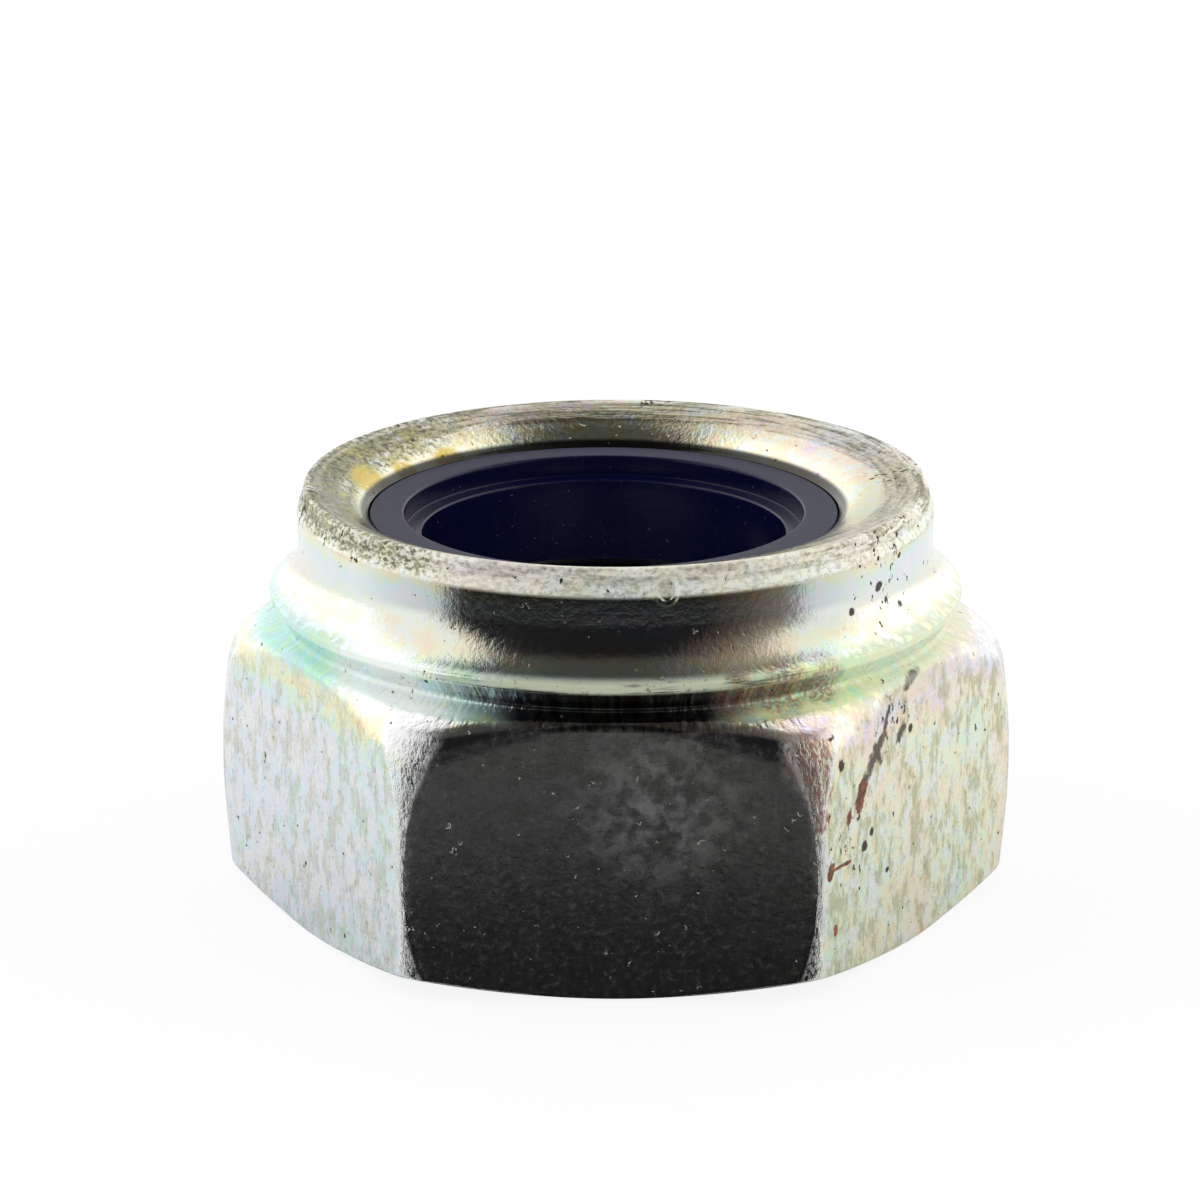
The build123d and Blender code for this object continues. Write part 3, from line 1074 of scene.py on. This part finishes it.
def makeWorld():
    world = bpy.data.worlds.new("white room")
    bpy.context.scene.world = world
    world.use_nodes = True
    tree = world.node_tree
    background = tree.nodes["Background"]
    background.inputs["Color"].default_value = (1, 1, 1, 1)
    path = tree.nodes.new("ShaderNodeLightPath")
    seen = tree.nodes.new("ShaderNodeMath")
    seen.operation = "MAXIMUM"
    tree.links.new(path.outputs["Is Camera Ray"], seen.inputs[0])
    tree.links.new(path.outputs["Is Glossy Ray"], seen.inputs[1])
    either = tree.nodes.new("ShaderNodeMath")
    either.operation = "MAXIMUM"
    tree.links.new(seen.outputs[0], either.inputs[0])
    tree.links.new(path.outputs["Is Transmission Ray"], either.inputs[1])
    strength = tree.nodes.new("ShaderNodeMapRange")
    strength.inputs["To Min"].default_value = 0.85
    strength.inputs["To Max"].default_value = 1.0
    tree.links.new(either.outputs[0], strength.inputs["Value"])
    tree.links.new(strength.outputs[0], background.inputs["Strength"])


def makeCamera(c):
    bpy.ops.object.camera_add()
    camera = bpy.context.object
    elevation, turn = radians(c["elevation"]), radians(c["turn"])
    back = Vector((cos(elevation) * sin(turn), -cos(elevation) * cos(turn), sin(elevation)))
    camera.location = c["target"] + back * c["distance"]
    aim = (-back).to_track_quat("-Z", "Y").to_matrix()
    tilt = Matrix.Rotation(radians(c["aimUp"]), 3, "X") @ Matrix.Rotation(radians(c["aimLeft"]), 3, "Y")
    camera.rotation_euler = (aim @ tilt).to_euler()
    camera.data.sensor_width = 36
    camera.data.lens = c["lens"]
    camera.data.clip_start = 0.005
    bpy.context.scene.camera = camera


bpy.context.scene.view_settings.view_transform = "Standard"
makeNut(nutSizes, threadSizes, platedSteel(steelLook, nutSizes))
makeInsert(insertSizes, nutSizes, nylon(nutSizes["lipShift"]))
makeFloor(stageSizes)
makeRoom(darkSizes)
makeDarkTable(darkSizes)
makeLamp("left_box", (-0.25, 0.02, 0.22), 0.25, 0.25)
makeLamp("right_box", (0.25, 0.02, 0.22), 0.25, 0.2)
makeWorld()
makeCamera(cameraSizes)
print("stage, lamps and camera ready")
